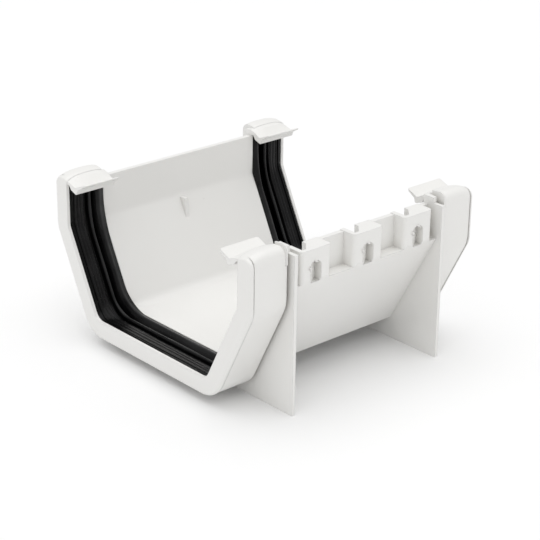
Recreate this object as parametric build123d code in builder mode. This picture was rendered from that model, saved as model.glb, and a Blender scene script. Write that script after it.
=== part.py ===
from build123d import *
import os
from math import atan2, pi, tan

# Gutter union for square-line rainwater gutter: one white moulding that joins two
# lengths of gutter, with a rubber seal bedded in each of its sockets.
# Millimetres. X runs along the gutter, +Y faces the fascia board and +Z is up.
# The feet of the two fins stand at z = 0.

# Square-line profile: the inner surface of the channel and of both rims
half_width = 57.2  # mid-plane to the upright wall
base_half_width = 37.75  # mid-plane to the corner of the floor
base_height = 12.4  # floor of the channel above the feet of the fins
kink_rise = 38.6  # floor up to where the sloping wall turns upright
wall_rise = 19.0  # upright wall from there to its top
kink_radius = 5.0
floor_radius = 5.4
channel_wall = 2.2

# Socket, measured inwards along X from the rim's front face
half_length = 64.0
rim_length = 1.4  # thickness of the rim's front plate
line_length = 0.5  # fine groove behind the rim
band_length = 17.1  # broad outer band
gap_length = 1.6  # dark gap between the band and the fin
rim_depth = 8.3  # how far the rim stands out from the gutter profile
line_sink = 1.2  # how far the fine groove is sunk below the rim
band_sink = 0.2  # how far the band is sunk below the rim
rim_edge = 1.1  # rounding of the rim's outer edge
rim_kink_radius = 8.0
band_kink_radius = 15.0

# Recess that holds the seal
seat_length = 16.4
seat_depth = 5.6
shelf_length = 2.0  # shallow step behind the recess, under the seal's thin lip
shelf_depth = 1.2
seat_headroom = 0.6  # seal's top up to the roof of the recess

# Humps over both walls of a socket, domed along the gutter
crest_rise = 4.7  # top of the channel's wall up to the crest
crest_inset = 1.4  # crest in from the wall's inner face, towards the outside
mouth_clear = 10.0  # cuts that are open at the top end this far above the crest
hump_rise = 0.1  # rise of the hump's top towards the outside, per mm
hump_radius = 3.8
shoulder_share = 0.6  # largest share of the hump's width that its rounding may take
crest_radius = 3.0
dome_set_back = 11.4  # rim's front face back to the highest place of the dome
dome_half = 10.6  # from there to where it has fallen by dome_fall
dome_fall = 1.8
dome_steps = 8

# Clip: a hooked lip that runs in from each hump
lip_knee = 2.2  # upright wall to where the lip starts to fall steeply
knee_drop = 1.3
lip_valley = 5.7  # upright wall to the bottom of the V
valley_drop = 4.3
lip_reach = 11.7  # upright wall to the free edge
lip_rise = 2.5  # V up to the free edge
lip_heel = 6.7  # upright wall to the lowest point of the clip
heel_drop = 3.1  # V down to that point
lip_thickness = 0.7
heel_rise = 1.4  # how far the underside climbs from there towards the wall
heel_width = 4.0
bridge_reach = 4.3  # upright wall to the outer end of the clip's root
root_reach = 0.6  # upright wall to where the root dips below the hump's top
root_drop = 0.6
lip_length = 20.2
lip_set_back = 0.5  # rim's front face back to the clip's front end
lip_corner = 1.3
lip_edge = 0.25  # rounding of the free edge
lip_round = 0.8  # rounding of the lip's underside
root_round = 1.0
valley_round = 0.6
heel_round = 0.5

# Collar: a thin raised edge at the back of each hump on the fascia's side
collar_width = 0.8
collar_rise = 0.5
collar_radius = 2.6
collar_height = 7.7  # crest down to the foot of the collar

# Thick back wall with three hollow pads
pad_depth = 8.8  # upright wall to the outer face of the pads
slope_foot = 2.6  # floor's corner to where the back slope meets the floor's underside
shoulder_rise = 6.0  # kink of the profile up to the top of the back slope
ledge_drop = 1.2  # floor of the recesses between the pads, below that
pad_rise = 0.4  # top of the pads above the channel's wall
pad_width = 16.6
pad_pitch = 29.6
pad_radius = 2.0
pocket_wall = 2.2  # outer and side walls left round a pocket
pocket_depth = 12.0
pocket_run = 4.1  # pocket's square end, from the pad's centre line

# Scoop: a notch in each pad's outer face, flush at one end and deep at the other
scoop_flush = 3.6  # pad's centre line to the shallow end
scoop_deep = 2.8  # pad's centre line to the deep end
scoop_depth = 4.0
scoop_drop = 1.6  # floor of the scoop below the back shoulder
scoop_height = 9.6
scoop_radius = 2.6
hood_rise = 1.2  # how far the hood over the scoop stands out of the pad
hood_width = 1.2
hood_fall = 3.6  # fall of the hood towards the shallow end

# Fins that stand against the fascia
fin_clear = 2.0  # how far the fins stand out beyond the pads
fin_rise = 1.2  # top of the fins above the channel's wall
fin_top_thickness = 1.9
fin_foot_thickness = 1.5
fin_heel = 24.0  # mid-plane to the inner end of the foot
fin_root = 8.0  # mid-plane to where the fin meets the floor of the channel
ear_reach = 5.6  # upright wall to the end of the raised part of the fin's top
ear_drop = 0.9  # top of that part below the crest

# Small locating rib inside the front wall
rib_width = 2.0
rib_height = 9.0
rib_rise = 3.4
rib_drop = 1.0  # top of the rib below the kink

# Rubber seal
fit = 0.1  # clearance between the seal and its recess
seal_front_radius = 6.0
seal_back_radius = 17.0
seal_front_kink = 5.0
seal_back_kink = 26.0
# Ribbed face from the rim inwards: share of its length, and how far it lies outside
# the gutter profile there
seal_face = [
    (0.0, 0.5),
    (0.02, 0.1),
    (0.09, 0.15),
    (0.1, 0.5),
    (0.12, 0.5),
    (0.13, 0.2),
    (0.42, 0.5),
    (0.44, 1.6),
    (0.525, 1.6),
    (0.545, -0.3),
    (0.615, -0.2),
    (0.635, 3.0),
    (0.7, 3.0),
    (0.825, -0.3),
    (0.85, -0.75),
    (0.875, -0.75),
    (0.98, 0.1),
    (1.0, 0.25),
]

# Distances that follow from the sizes above
kink_height = base_height + kink_rise
wall_top = kink_height + wall_rise
crest_height = wall_top + crest_rise
collar_foot = crest_height - collar_height
back_shoulder = kink_height + shoulder_rise
pad_top = wall_top + pad_rise
fin_top = wall_top + fin_rise
seal_top = wall_top
dome_middle = half_length - dome_set_back
slope = atan2(half_width - base_half_width, kink_height - base_height)
rim_back = half_length - rim_length
line_back = rim_back - line_length
band_back = line_back - band_length
fin_front = band_back - gap_length
fin_back = fin_front - fin_top_thickness
seat_back = rim_back - seat_length
shelf_back = seat_back - shelf_length
recess_top = seal_top + seat_headroom
crest_y = half_width + crest_inset
back_reach = half_width + pad_depth
back_foot = base_half_width + slope_foot
back_lean = (back_reach - back_foot) / (back_shoulder - base_height + channel_wall)
ledge_height = back_shoulder - ledge_drop
ledge_reach = back_reach - ledge_drop * back_lean
fin_reach = back_reach + fin_clear
mouth_top = crest_height + mouth_clear
mid_y = (half_width + rim_depth - fin_reach) / 2  # channel's mid-plane in the part's frame


def across(x):
    """Plane across the gutter at x, on which a sketch is drawn as (y, z)."""
    return Plane(origin=(x, mid_y, 0), x_dir=(0, 1, 0), z_dir=(1, 0, 0))


def along(y):
    """Plane along the gutter at y, on which a sketch is drawn as (x, z)."""
    return Plane(origin=(0, mid_y + y, 0), x_dir=(1, 0, 0), z_dir=(0, -1, 0))


def corners(out):
    """Kink and floor corner of the gutter profile moved outwards by out."""
    kink = (half_width + out, kink_height - out * tan(slope / 2))
    foot = (base_half_width + out * tan((pi / 2 - slope) / 2), base_height - out)
    return kink, foot


def crest_at(x):
    """Height of the crest at x, on the domed top of the humps."""
    return crest_height - dome_fall * (abs(x - dome_middle) / dome_half) ** 3


def steps(start, end, count):
    """Evenly spaced places from start to end."""
    return [start + (end - start) * step / count for step in range(count + 1)]


def tub(x, out, top, foot_radius, bend_radius):
    """Face across the gutter at x: the profile moved outwards by out, flat at the top."""
    kink, foot = corners(out)
    half = [(kink[0], top), kink, foot]
    other = [(-y, z) for y, z in reversed(half)]
    radii = [0, bend_radius, foot_radius, foot_radius, bend_radius, 0]
    with BuildSketch(across(x)) as face:
        with BuildLine():
            FilletPolyline(*half, *other, radius=radii, close=True)
        make_face()
    return face.sketch


def humped(x, out, bend_radius):
    """Face across the gutter at x with a hump over each wall, before the mouth is cut."""
    kink, foot = corners(out)
    crest = (crest_y, crest_at(x))
    hump_corner = (half_width + out, crest_at(x) + (half_width + out - crest_y) * hump_rise)
    inner_end = (half_width - lip_knee, crest_at(x) - knee_drop)
    half = [inner_end, crest, hump_corner, kink, foot]
    other = [(-y, z) for y, z in reversed(half)]
    shoulder_radius = min(hump_radius, shoulder_share * (half_width + out - crest_y))
    side = [0, crest_radius, shoulder_radius, bend_radius, floor_radius + out]
    with BuildSketch(across(x)) as face:
        with BuildLine():
            FilletPolyline(*half, *other, radius=side + side[::-1], close=True)
        make_face()
    return face.sketch


def hooked(x):
    """Face across the gutter at x through the clip on the fascia's side."""
    valley_z = crest_height - valley_drop
    heel_z = valley_z - heel_drop
    clip_radii = [0, root_round, root_round, valley_round, lip_edge, lip_edge]
    clip_radii += [lip_round, lip_round, heel_round, heel_round, 0]
    with BuildSketch(across(x)) as face:
        with BuildLine():
            FilletPolyline(
                (half_width + bridge_reach, crest_at(x) - knee_drop),
                (half_width + root_reach, crest_at(x) - root_drop),
                (half_width - lip_knee, crest_at(x) - knee_drop),
                (half_width - lip_valley, valley_z),
                (half_width - lip_reach, valley_z + lip_rise),
                (half_width - lip_reach, valley_z + lip_rise - lip_thickness),
                (half_width - lip_heel - lip_thickness, valley_z - lip_thickness),
                (half_width - lip_heel, heel_z),
                (half_width - lip_heel + heel_width, heel_z + heel_rise),
                (half_width - lip_heel + heel_width + heel_rise, recess_top),
                (half_width + bridge_reach, recess_top),
                radius=clip_radii,
                close=True,
            )
        make_face()
    return face.sketch


# Fin: a flat upright plate, drafted on the channel's side, that comes up past the wall
with BuildPart() as fin:
    with BuildSketch(across(fin_back)):
        with BuildLine():
            Polyline(
                (fin_reach, 0),
                (fin_reach, fin_top),
                (half_width + ear_reach, fin_top),
                (half_width + ear_reach, crest_height - ear_drop),
                (base_half_width, crest_height - ear_drop),
                (base_half_width, base_height),
                (fin_root, base_height),
                (fin_root, base_height - channel_wall),
                (fin_heel, 0),
                close=True,
            )
        make_face()
    extrude(amount=fin_top_thickness)
    with BuildSketch(along(0)):
        with BuildLine():
            Polyline(
                (fin_back, fin_top),
                (fin_front - fin_foot_thickness, 0),
                (fin_back - channel_wall, -channel_wall),
                (fin_back - channel_wall, fin_top),
                close=True,
            )
        make_face()
    extrude(amount=fin_reach * 2, both=True, mode=Mode.SUBTRACT)

# Clip: the hooked lip over the whole length of the hump, its corners rounded in plan
clip_front = half_length - lip_set_back
clip_back = clip_front - lip_length
with BuildPart() as clip:
    loft([hooked(x) for x in steps(clip_back, clip_front, dome_steps)], ruled=True)
    with BuildSketch(Plane(origin=(0, mid_y, collar_foot - channel_wall))):
        with BuildLine():
            FilletPolyline(
                (clip_front, half_width + bridge_reach),
                (clip_front, half_width - lip_reach),
                (clip_back, half_width - lip_reach),
                (clip_back, half_width + bridge_reach),
                radius=[0, lip_corner, lip_corner, 0],
                close=True,
            )
        make_face()
    extrude(amount=crest_height, mode=Mode.INTERSECT)

# Collar: the thin raised edge at the back of the hump
with BuildPart() as collar:
    collar_top = crest_height + collar_rise
    collar_reach = half_width + rim_depth + collar_rise / 2
    with BuildSketch(across(band_back)):
        with BuildLine():
            FilletPolyline(
                (crest_y, collar_foot),
                (crest_y, collar_top),
                (collar_reach, collar_top + (collar_reach - crest_y) * hump_rise),
                (collar_reach, collar_foot),
                radius=[0, 0, collar_radius, 0],
                close=True,
            )
        make_face()
    extrude(amount=collar_width)

# Rim: the front plate of the socket, rounded on its outer front edge
with BuildPart() as rim:
    loft([humped(rim_back, rim_depth, rim_kink_radius), humped(half_length, rim_depth, rim_kink_radius)])
    fillet(rim.faces().sort_by(Axis.X)[-1].edges(), rim_edge)

# Pad: one of the three blocks on the back wall, with a pocket open to the channel
with BuildPart() as pad:
    with BuildSketch(across(-pad_width / 2)):
        with BuildLine():
            Polyline(
                (half_width, pad_top),
                (back_reach, pad_top),
                (back_reach, back_shoulder),
                (ledge_reach, ledge_height),
                (half_width, ledge_height),
                close=True,
            )
        make_face()
    extrude(amount=pad_width)
    outer_face = pad.faces().sort_by(Axis.Y)[-1]
    fillet(outer_face.edges().filter_by(Axis.Z), pad_radius)

# Pocket: the space cut down into the +X half of each pad, open to the channel
with BuildPart() as pocket:
    pocket_side = pad_width / 2 - pocket_wall
    pocket_back = mid_y + back_reach - pocket_wall
    wall_inside = mid_y + half_width
    with BuildSketch(Plane.XY.offset(pad_top - pocket_depth)):
        with BuildLine():
            Polyline(
                (0, wall_inside - channel_wall),
                (0, wall_inside + channel_wall),
                (pocket_run, pocket_back),
                (pocket_side, pocket_back),
                (pocket_side, wall_inside - channel_wall),
                close=True,
            )
        make_face()
    extrude(amount=2 * pocket_depth)

# Scoop: the notch in the pad's outer face, arched at its top
scoop_foot = back_shoulder - scoop_drop
scoop_top = scoop_foot + scoop_height
with BuildPart() as scoop:
    with BuildSketch(along(back_reach + hood_rise)):
        with BuildLine():
            FilletPolyline(
                (-scoop_deep, scoop_foot),
                (-scoop_deep, scoop_top),
                (scoop_flush, scoop_top),
                (scoop_flush, scoop_foot),
                radius=[0, scoop_radius, scoop_radius, 0],
                close=True,
            )
        make_face()
    extrude(amount=scoop_depth + hood_rise)
    with BuildSketch(Plane.XY.offset(scoop_foot)):
        with BuildLine():
            Polyline(
                (scoop_flush, mid_y + back_reach),
                (scoop_flush, mid_y + back_reach + hood_rise),
                (-scoop_deep, mid_y + back_reach + hood_rise),
                (-scoop_deep, mid_y + back_reach - scoop_depth),
                close=True,
            )
        make_face()
    extrude(amount=scoop_height, mode=Mode.INTERSECT)

# Hood: a thin slanting ledge over the shallow half of the scoop
with BuildPart() as hood:
    with BuildSketch(along(back_reach - channel_wall / 2)):
        with BuildLine():
            Polyline(
                (0, scoop_top),
                (scoop_flush, scoop_top - hood_fall),
                (scoop_flush + hood_width / 2, scoop_top - hood_fall + hood_width),
                (hood_width / 2, scoop_top + hood_width / 2),
                close=True,
            )
        make_face()
    extrude(amount=-hood_rise - channel_wall / 2)

# Rib: a small upright wedge on the sloping front wall, just under the kink
with BuildPart() as rib:
    rib_top = kink_height - rib_drop
    rib_foot = rib_top - rib_height
    wall_at_top = half_width - rib_drop * tan(slope)
    wall_at_foot = wall_at_top - rib_height * tan(slope)
    with BuildSketch(across(-rib_width / 2)):
        with BuildLine():
            Polyline(
                (-wall_at_foot, rib_foot),
                (rib_rise - wall_at_top, rib_top),
                (-wall_at_top - channel_wall / 2, rib_top),
                (-wall_at_foot - channel_wall / 2, rib_foot),
                close=True,
            )
        make_face()
    extrude(amount=rib_width)

# The whole white moulding
with BuildPart() as union_body:
    # Channel and its thick back wall, from the middle to the fin
    extrude(tub(0, channel_wall, wall_top, floor_radius + channel_wall, kink_radius), amount=fin_front)
    with BuildSketch(across(0)):
        with BuildLine():
            Polyline(
                (ledge_reach, ledge_height),
                (back_foot, base_height - channel_wall),
                (fin_root, base_height - channel_wall),
                (fin_root, ledge_height),
                close=True,
            )
        make_face()
    extrude(amount=fin_front)
    add(fin.part)
    # Socket: gap, band, fine groove and rim, one behind the other
    gap_radius = floor_radius + channel_wall
    extrude(tub(fin_front, channel_wall, recess_top + fit, gap_radius, kink_radius), amount=gap_length)
    band_depth = rim_depth - band_sink
    band_places = steps(band_back, line_back, dome_steps)
    loft([humped(x, band_depth, band_kink_radius) for x in band_places], ruled=True)
    line_depth = rim_depth - line_sink
    loft([humped(line_back, line_depth, band_kink_radius), humped(rim_back, line_depth, band_kink_radius)])
    add(rim.part)
    add(collar.part)
    # Mouth of the gutter profile, then the recess and the shelf for the seal
    extrude(tub(0, 0, mouth_top, floor_radius, kink_radius), amount=half_length, mode=Mode.SUBTRACT)
    recess_radius = floor_radius + seat_depth
    extrude(
        tub(seat_back, seat_depth, recess_top, recess_radius, kink_radius + seat_depth),
        amount=seat_length,
        mode=Mode.SUBTRACT,
    )
    extrude(
        tub(shelf_back, shelf_depth, recess_top, floor_radius + shelf_depth, kink_radius),
        amount=shelf_length,
        mode=Mode.SUBTRACT,
    )
    add(clip.part)
    add(mirror(clip.part, about=Plane.XZ.offset(-mid_y), mode=Mode.PRIVATE))
    mirror(about=Plane.YZ)
    add(rib.part)
    # Three pads with their pockets, scoops and hoods
    with Locations((-pad_pitch, 0, 0), (0, 0, 0), (pad_pitch, 0, 0)):
        add(pad.part)
        add(hood.part)
        add(scoop.part, mode=Mode.SUBTRACT)
        add(pocket.part, mode=Mode.SUBTRACT)

union_body.part.label = "union_body"
os.makedirs("parts", exist_ok=True)
export_step(union_body.part, "parts/union_body.step")

# Seals: a rubber strip that fills each recess, with its ribbed face towards the gutter
seal_front = rim_back - fit
face_length = seal_front - shelf_back - fit
for side, name in ((1, "seal_a"), (-1, "seal_b")):
    with BuildPart() as seal:
        seal_radius = floor_radius + seat_depth - fit
        extrude(
            tub(seat_back + fit, seat_depth - fit, seal_top, seal_radius, kink_radius + seat_depth - fit),
            amount=seat_length - 2 * fit,
        )
        extrude(
            tub(shelf_back + fit, shelf_depth - fit, seal_top, floor_radius + shelf_depth - fit, kink_radius),
            amount=shelf_length,
        )
        stations = []
        for share, out in seal_face:
            foot_radius = seal_front_radius + share * (seal_back_radius - seal_front_radius)
            bend_radius = seal_front_kink + share * (seal_back_kink - seal_front_kink)
            stations.append(tub(seal_front - share * face_length, out, mouth_top, foot_radius, bend_radius))
        loft(stations, ruled=True, mode=Mode.SUBTRACT)
        if side < 0:
            mirror(about=Plane.YZ, mode=Mode.REPLACE)
    seal.part.label = name
    export_step(seal.part, f"parts/{name}.step")
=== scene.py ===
import math

import bmesh
import bpy
from mathutils import Matrix, Vector


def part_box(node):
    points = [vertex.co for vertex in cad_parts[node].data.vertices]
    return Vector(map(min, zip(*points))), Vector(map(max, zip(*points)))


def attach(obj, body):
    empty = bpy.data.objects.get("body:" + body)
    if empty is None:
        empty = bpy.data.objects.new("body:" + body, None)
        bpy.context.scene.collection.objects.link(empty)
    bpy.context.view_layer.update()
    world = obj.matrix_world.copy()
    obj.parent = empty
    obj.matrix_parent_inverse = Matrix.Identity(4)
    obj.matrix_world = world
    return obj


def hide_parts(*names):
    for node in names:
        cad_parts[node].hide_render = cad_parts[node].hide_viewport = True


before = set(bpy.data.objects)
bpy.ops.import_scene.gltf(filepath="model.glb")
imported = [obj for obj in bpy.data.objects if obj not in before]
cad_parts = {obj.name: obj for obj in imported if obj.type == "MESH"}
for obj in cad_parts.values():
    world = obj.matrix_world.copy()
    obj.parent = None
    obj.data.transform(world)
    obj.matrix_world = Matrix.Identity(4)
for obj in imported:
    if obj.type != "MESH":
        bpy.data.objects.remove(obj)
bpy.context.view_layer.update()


# Camera
# A long lens looks down on the union from the fascia's side, past the +X socket, as the
# photograph does. The channel's mid-plane lies a little in front of the part's origin.
MM = 0.001
mid_y = -1.25 * MM
azimuth = math.radians(137.95)
elevation = math.radians(23.07)
roll = math.radians(0.78)
distance = 755.6 * MM
aim = Vector((0.19 * MM, 5.56 * MM + mid_y, 33.09 * MM))
lens_pixels = 1704.7
photo_width = 540

towards = Vector((
    math.sin(azimuth) * math.cos(elevation),
    -math.cos(azimuth) * math.cos(elevation),
    math.sin(elevation),
))
level = Vector((0, 0, 1)).cross(towards).normalized()
upright = towards.cross(level)
right = level * math.cos(roll) + upright * math.sin(roll)
up = upright * math.cos(roll) - level * math.sin(roll)
camera_data = bpy.data.cameras.new("photo_camera")
camera_data.sensor_width = 36.0
camera_data.lens = lens_pixels * camera_data.sensor_width / photo_width
camera = bpy.data.objects.new("photo_camera", camera_data)
turn = Matrix((right, up, towards)).transposed().to_4x4()
camera.matrix_world = Matrix.Translation(aim + towards * distance) @ turn
bpy.context.collection.objects.link(camera)
bpy.context.scene.camera = camera


# Studio
# A pale seamless floor in an even white room. One broad lamp hangs above the union, so
# that the upward faces are the brightest and shadows are faint and soft.
floor_half = 3.0
lamp_direction = Vector((0.05, 0.05, 1))

floor_mesh = bpy.data.meshes.new("floor")
floor_mesh.from_pydata(
    [(-floor_half, -floor_half, 0), (floor_half, -floor_half, 0),
     (floor_half, floor_half, 0), (-floor_half, floor_half, 0)],
    [],
    [(0, 1, 2, 3)],
)
floor = bpy.data.objects.new("floor", floor_mesh)
bpy.context.collection.objects.link(floor)
floor_paint = bpy.data.materials.new("pale_floor")
floor_paint.use_nodes = True
paint = floor_paint.node_tree.nodes["Principled BSDF"]
paint.inputs["Base Color"].default_value = (0.95, 0.95, 0.95, 1)
paint.inputs["Roughness"].default_value = 0.9
paint.inputs["Specular IOR Level"].default_value = 0.1
floor_mesh.materials.append(floor_paint)

room = bpy.data.worlds.new("room")
bpy.context.scene.world = room
room.use_nodes = True
room_light = room.node_tree.nodes["Background"]
room_light.inputs["Color"].default_value = (1, 1, 1, 1)
room_light.inputs["Strength"].default_value = 0.63
bpy.context.scene.view_settings.view_transform = "Standard"

lamp_data = bpy.data.lights.new("overhead", "SUN")
lamp_data.energy = 1.38
lamp_data.angle = math.radians(80)
lamp = bpy.data.objects.new("overhead", lamp_data)
lamp.rotation_euler = lamp_direction.to_track_quat("Z", "Y").to_euler()
bpy.context.collection.objects.link(lamp)


# Moulding
# One piece of white rigid PVC, injection moulded: the channel, both sockets, their
# clips, the pads and the fins. It is glossy, faintly clouded and a little warm in
# colour, with softened edges that are glossier and painted lighter as a painted
# highlight, and painted shade that darkens its corners.
clean_tones = ((0.25, (0.845, 0.837, 0.812, 1)), (0.75, (0.875, 0.87, 0.852, 1)))
corner_shade_color = (0.66, 0.645, 0.61, 1)
shade_reach = 5 * MM
edge_highlight_color = (0.9, 0.897, 0.885, 1)
edge_radius = 0.45 * MM
polish_on_roughness = -0.08
shrink_waves = {"Scale": 34, "Detail": 0, "Strength": 0.3, "Depth": 0.5 * MM}
orange_peel = {"Scale": 1100, "Detail": 2, "Strength": 0.12, "Depth": 0.05 * MM}

white_plastic = bpy.data.materials.new("white_plastic")
white_plastic.use_nodes = True
tree = white_plastic.node_tree
shader = tree.nodes["Principled BSDF"]
shader.inputs["IOR"].default_value = 1.5
place = tree.nodes.new("ShaderNodeTexCoord").outputs["Object"]


def noise(tree, place, scale, detail):
    """Patches of noise over a place."""
    patches = tree.nodes.new("ShaderNodeTexNoise")
    patches.inputs["Scale"].default_value = scale
    patches.inputs["Detail"].default_value = detail
    tree.links.new(place, patches.inputs["Vector"])
    return patches.outputs["Fac"]


def tones(tree, value, stops, interpolation="LINEAR"):
    """Colours by a value, from stops that each have a place on it and a colour."""
    ramp = tree.nodes.new("ShaderNodeValToRGB")
    ramp.color_ramp.interpolation = interpolation
    elements = ramp.color_ramp.elements
    for index, (position, color) in enumerate(stops):
        stop = elements[index] if index < len(elements) else elements.new(position)
        stop.position = position
        stop.color = color
    tree.links.new(value, ramp.inputs["Fac"])
    return ramp.outputs["Color"]


def rescale(tree, value, given, result=(0, 1), interpolation="LINEAR"):
    """A value brought from the given span to the result's, and held at its ends."""
    span = tree.nodes.new("ShaderNodeMapRange")
    span.interpolation_type = interpolation
    for name, end in zip(("From Min", "From Max", "To Min", "To Max"), given + result):
        span.inputs[name].default_value = end
    tree.links.new(value, span.inputs["Value"])
    return span.outputs["Result"]


def tint(tree, base, color, mask):
    """The base colour, with another laid over it where the mask is."""
    mixed = tree.nodes.new("ShaderNodeMix")
    mixed.data_type = "RGBA"
    mixed.inputs["B"].default_value = color
    tree.links.new(base, mixed.inputs["A"])
    tree.links.new(mask, mixed.inputs["Factor"])
    return mixed.outputs["Result"]


# Painted shade darkens the corners, and the softened edges, the places where the normal turns, get
# a painted highlight
cloudy = tones(tree, noise(tree, place, scale=16, detail=3), clean_tones, "B_SPLINE")
# Painted shade: the colour turns a darker warm grey where ambient occlusion finds corners
crevice = tree.nodes.new("ShaderNodeAmbientOcclusion")
crevice.samples = 8
crevice.only_local = True
crevice.inputs["Distance"].default_value = shade_reach
corner_shade = rescale(tree, crevice.outputs["AO"], (0.75, 0.3), (0, 0.5))
corner_shaded = tint(tree, cloudy, corner_shade_color, corner_shade)

soft_edge = tree.nodes.new("ShaderNodeBevel")
soft_edge.samples = 6
soft_edge.inputs["Radius"].default_value = edge_radius
surface = tree.nodes.new("ShaderNodeNewGeometry")
turned = tree.nodes.new("ShaderNodeVectorMath")
turned.operation = "DOT_PRODUCT"
tree.links.new(soft_edge.outputs["Normal"], turned.inputs[0])
tree.links.new(surface.outputs["Normal"], turned.inputs[1])
edge = rescale(tree, turned.outputs["Value"], (0.99, 0.85))
# Painted highlight: the colour is made lighter on the softened edges
tree.links.new(tint(tree, corner_shaded, edge_highlight_color, edge), shader.inputs["Base Color"])

# The gloss differs from place to place, and is higher on the polished edges
sheen = noise(tree, place, scale=48, detail=4)
gloss = rescale(tree, sheen, (0.2, 0.8), (0.27, 0.38), "SMOOTHSTEP")
rubbed = tree.nodes.new("ShaderNodeMath")
rubbed.operation = "MULTIPLY_ADD"
rubbed.inputs[1].default_value = polish_on_roughness
tree.links.new(edge, rubbed.inputs[0])
tree.links.new(gloss, rubbed.inputs[2])
tree.links.new(rubbed.outputs["Value"], shader.inputs["Roughness"])

# The relief group raises patches of noise on a surface, by its normal
relief = bpy.data.node_groups.new("relief", "ShaderNodeTree")
relief.interface.new_socket("Place", in_out="INPUT", socket_type="NodeSocketVector")
relief.interface.new_socket("Normal", in_out="INPUT", socket_type="NodeSocketVector")
for name in ("Scale", "Detail", "Strength", "Depth"):
    relief.interface.new_socket(name, in_out="INPUT", socket_type="NodeSocketFloat")
relief.interface.new_socket("Normal", in_out="OUTPUT", socket_type="NodeSocketVector")
given = relief.nodes.new("NodeGroupInput")
patches = relief.nodes.new("ShaderNodeTexNoise")
raised = relief.nodes.new("ShaderNodeBump")
result = relief.nodes.new("NodeGroupOutput")
relief.links.new(given.outputs["Place"], patches.inputs["Vector"])
relief.links.new(given.outputs["Scale"], patches.inputs["Scale"])
relief.links.new(given.outputs["Detail"], patches.inputs["Detail"])
relief.links.new(patches.outputs["Fac"], raised.inputs["Height"])
relief.links.new(given.outputs["Strength"], raised.inputs["Strength"])
relief.links.new(given.outputs["Depth"], raised.inputs["Distance"])
relief.links.new(given.outputs["Normal"], raised.inputs["Normal"])
relief.links.new(raised.outputs["Normal"], result.inputs["Normal"])


def add_relief(tree, place, normal, values):
    """The normal with a layer of relief, from values for the group's inputs."""
    layer = tree.nodes.new("ShaderNodeGroup")
    layer.node_tree = relief
    for name, value in values.items():
        layer.inputs[name].default_value = value
    tree.links.new(place, layer.inputs["Place"])
    tree.links.new(normal, layer.inputs["Normal"])
    return layer.outputs["Normal"]


# Shallow waves of the mould's shrinkage, then the fine orange peel of its surface
wavy = add_relief(tree, place, soft_edge.outputs["Normal"], shrink_waves)
peeled = add_relief(tree, place, wavy, orange_peel)
tree.links.new(peeled, shader.inputs["Normal"])

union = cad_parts["union_body"]
union.data.materials.clear()
union.data.materials.append(white_plastic)


# Seals
# A black rubber strip lies in the recess of each socket, with a ribbed face that the
# gutter is pressed onto. Fine lines run along its length from its extrusion, and a
# grey bloom lies in patches over painted highlights on the raised back lip and the
# rib and painted shade in the grooves.
seal_low, seal_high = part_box("seal_a")
strip_back = seal_low.x / MM
strip_front = seal_high.x / MM
strip_top = seal_high.z / MM
face_length = strip_front - strip_back

# The square-line profile that the strip follows, in mm: the channel's inner surface
half_width = 57.2
kink_height = 51.0
base_half_width = 37.75
base_height = 12.4
slope = math.atan2(half_width - base_half_width, kink_height - base_height)

# The face's lines, which go down one wall, under the channel's floor and up the other.
# Each has its place, as a share of the face from the rim, and how far it lies outside
# the profile, in mm.
ribbed_face = (
    (0.0, 0.5), (0.02, 0.12), (0.09, 0.12), (0.1, 0.55), (0.12, 0.55), (0.13, 0.2),
    (0.19, 0.22), (0.2, 0.34), (0.215, 0.34), (0.225, 0.22),
    (0.28, 0.26), (0.29, 0.38), (0.305, 0.38), (0.315, 0.28),
    (0.37, 0.33), (0.38, 0.46), (0.395, 0.46), (0.405, 0.38),
    (0.42, 0.5), (0.44, 1.6), (0.525, 1.6),
    (0.54, 0.1), (0.55, -0.2), (0.565, -0.33), (0.595, -0.33), (0.61, -0.2), (0.622, 0.3),
    (0.635, 3.0), (0.7, 3.0), (0.79, 0.55), (0.825, -0.3),
    (0.84, -0.62), (0.855, -0.78), (0.87, -0.78), (0.885, -0.68), (0.98, 0.1), (1.0, 0.25),
)

# The radii of the face's bends, at the foot of the wall and at its kink, in mm. They grow
# from the rim to the back lip. The lines sway a little, as soft rubber does: by how much,
# in mm, and by how many radians from one point to the next.
rim_radii = (6, 5)
lip_radii = (21, 60)
sway = 0.12
sway_turn = 0.55

# The strip's back lies on a shelf and then in the recess: how far out, and both radii
shelf_end = 46.3
shelf = (1.1, 6.5, 5)
seat = (5.5, 10.9, 10.5)
bedded_back = ((strip_back, *shelf), (shelf_end, *shelf), (shelf_end, *seat), (strip_front, *seat))

# Steps on each straight and bend, and the share of a straight that a bend may take
straight_steps = 6
kink_steps = 10
foot_steps = 14
longest_reach = 0.98
sharp_edge = math.radians(50)


def straight(start, end):
    """Points on the line from start to end, without the start."""
    return [start.lerp(end, step / straight_steps) for step in range(1, straight_steps + 1)]


def half_line(out, foot_radius, kink_radius):
    """Points (y, z) of half the profile moved outwards by out, from the top to the middle."""
    corners = [Vector(corner) for corner in (
        (half_width + out, strip_top),
        (half_width + out, kink_height - out * math.tan(slope / 2)),
        (base_half_width + out * math.tan((math.pi / 2 - slope) / 2), base_height - out),
        (0.0, base_height - out),
    )]
    bends = ((kink_radius, kink_steps), (foot_radius, foot_steps))
    points = [corners[0]]
    for before, corner, after, (radius, steps) in zip(corners, corners[1:], corners[2:], bends):
        to_before = (before - corner).normalized()
        to_after = (after - corner).normalized()
        turn_angle = math.pi - to_before.angle(to_after)
        reach = min(radius * math.tan(turn_angle / 2), longest_reach * (before - corner).length)
        start = corner + to_before * reach
        end = corner + to_after * reach
        points += straight(points[-1], start)
        # A round arc from start to end, drawn towards the corner by its weight
        weight = math.cos(turn_angle / 2)
        for step in range(1, steps + 1):
            t = step / steps
            parts = ((1 - t) ** 2, 2 * t * (1 - t) * weight, t ** 2)
            points.append((start * parts[0] + corner * parts[1] + end * parts[2]) / sum(parts))
    points += straight(points[-1], corners[-1])
    return points


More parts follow.
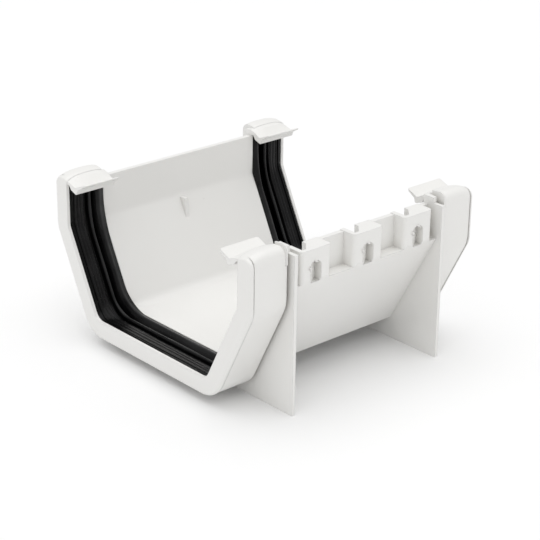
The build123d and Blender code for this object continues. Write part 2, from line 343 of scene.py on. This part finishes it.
def strip_mesh(name, side):
    """The ribbed strip as a closed mesh, at the +X or the -X end of the union."""
    lines = []
    for share, out in ribbed_face:
        radii = [rim + share * (lip - rim) for rim, lip in zip(rim_radii, lip_radii)]
        line_sway = sway if 0 < share < 1 else 0.0
        lines.append((strip_front - share * face_length, out, *radii, line_sway))
    lines += [(*line, 0.0) for line in bedded_back]
    mesh = bmesh.new()
    rings = []
    for x, out, foot_radius, kink_radius, line_sway in lines:
        half = half_line(out, foot_radius, kink_radius)
        whole = [(y, z) for y, z in half] + [(-y, z) for y, z in reversed(half[:-1])]
        ring = []
        for index, (y, z) in enumerate(whole):
            swayed_x = x + line_sway * math.sin(index * sway_turn + x)
            ring.append(mesh.verts.new((side * swayed_x * MM, y * MM + mid_y, z * MM)))
        rings.append(ring)
    for ring, following in zip(rings, rings[1:] + rings[:1]):
        for index in range(len(ring) - 1):
            mesh.faces.new((ring[index], ring[index + 1], following[index + 1], following[index]))
    mesh.faces.new([ring[0] for ring in rings])
    mesh.faces.new([ring[-1] for ring in reversed(rings)])
    bmesh.ops.recalc_face_normals(mesh, faces=mesh.faces)
    data = bpy.data.meshes.new(name)
    mesh.to_mesh(data)
    mesh.free()
    data.shade_smooth()
    data.set_sharp_from_angle(angle=sharp_edge)
    return data


# Grey along the gutter, from the back lip to the rim: a painted highlight on the lip and
# the rib, and painted shade in the grooves, broken up by patches of bloom
lit_and_shaded_bands = (
    (0.0, 0.28), (0.1, 0.36), (0.14, 0.95), (0.17, 0.3), (0.3, 0.04), (0.37, 0.04),
    (0.42, 0.6), (0.46, 0.1), (0.56, 0.03), (0.6, 0.22), (0.85, 0.16), (0.88, 0.02),
)
full_grey = 0.6
rubber_grain = {"Scale": 1800, "Detail": 3, "Strength": 0.2, "Depth": 0.05 * MM}
rubber_tones = ((0.05, (0.001, 0.001, 0.0012, 1)), (full_grey, (0.06, 0.06, 0.061, 1)))

seal_rubber = bpy.data.materials.new("seal_rubber")
seal_rubber.use_nodes = True
tree = seal_rubber.node_tree
shader = tree.nodes["Principled BSDF"]
shader.inputs["Specular IOR Level"].default_value = 0.16
place = tree.nodes.new("ShaderNodeTexCoord").outputs["Object"]

along = tree.nodes.new("ShaderNodeSeparateXYZ")
tree.links.new(place, along.inputs["Vector"])
distance_out = tree.nodes.new("ShaderNodeMath")
distance_out.operation = "ABSOLUTE"
tree.links.new(along.outputs["X"], distance_out.inputs[0])
from_lip = rescale(tree, distance_out.outputs["Value"], (strip_back * MM, strip_front * MM))
bands = tones(tree, from_lip, [(position, (grey, grey, grey, 1)) for position, grey in lit_and_shaded_bands])
# Painted light: the bands make the lip and the rib lighter and the grooves darker; the noise makes
# the patches of bloom
bloom_and_painted_light = tree.nodes.new("ShaderNodeMath")
bloom_and_painted_light.operation = "MULTIPLY"
tree.links.new(noise(tree, place, scale=70, detail=5), bloom_and_painted_light.inputs[0])
tree.links.new(bands, bloom_and_painted_light.inputs[1])
tree.links.new(tones(tree, bloom_and_painted_light.outputs["Value"], rubber_tones), shader.inputs["Base Color"])
satin = rescale(tree, bloom_and_painted_light.outputs["Value"], (0, full_grey), (0.24, 0.4))
tree.links.new(satin, shader.inputs["Roughness"])

# Extrusion lines along the strip, under the grain of the rubber
extruded = tree.nodes.new("ShaderNodeTexWave")
extruded.wave_type = "BANDS"
extruded.bands_direction = "X"
extruded.inputs["Scale"].default_value = 420
extruded.inputs["Distortion"].default_value = 1.2
extruded.inputs["Detail"].default_value = 2
extruded.inputs["Detail Scale"].default_value = 0.4
tree.links.new(place, extruded.inputs["Vector"])
lined = tree.nodes.new("ShaderNodeBump")
lined.inputs["Strength"].default_value = 0.3
lined.inputs["Distance"].default_value = 0.08 * MM
tree.links.new(extruded.outputs["Fac"], lined.inputs["Height"])
grained = add_relief(tree, place, lined.outputs["Normal"], rubber_grain)
tree.links.new(grained, shader.inputs["Normal"])

for name, side in (("seal_a", 1), ("seal_b", -1)):
    strip = bpy.data.objects.new(name + "_strip", strip_mesh(name + "_strip", side))
    bpy.context.collection.objects.link(strip)
    strip.data.materials.append(seal_rubber)
    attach(strip, "root")
    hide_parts(name)
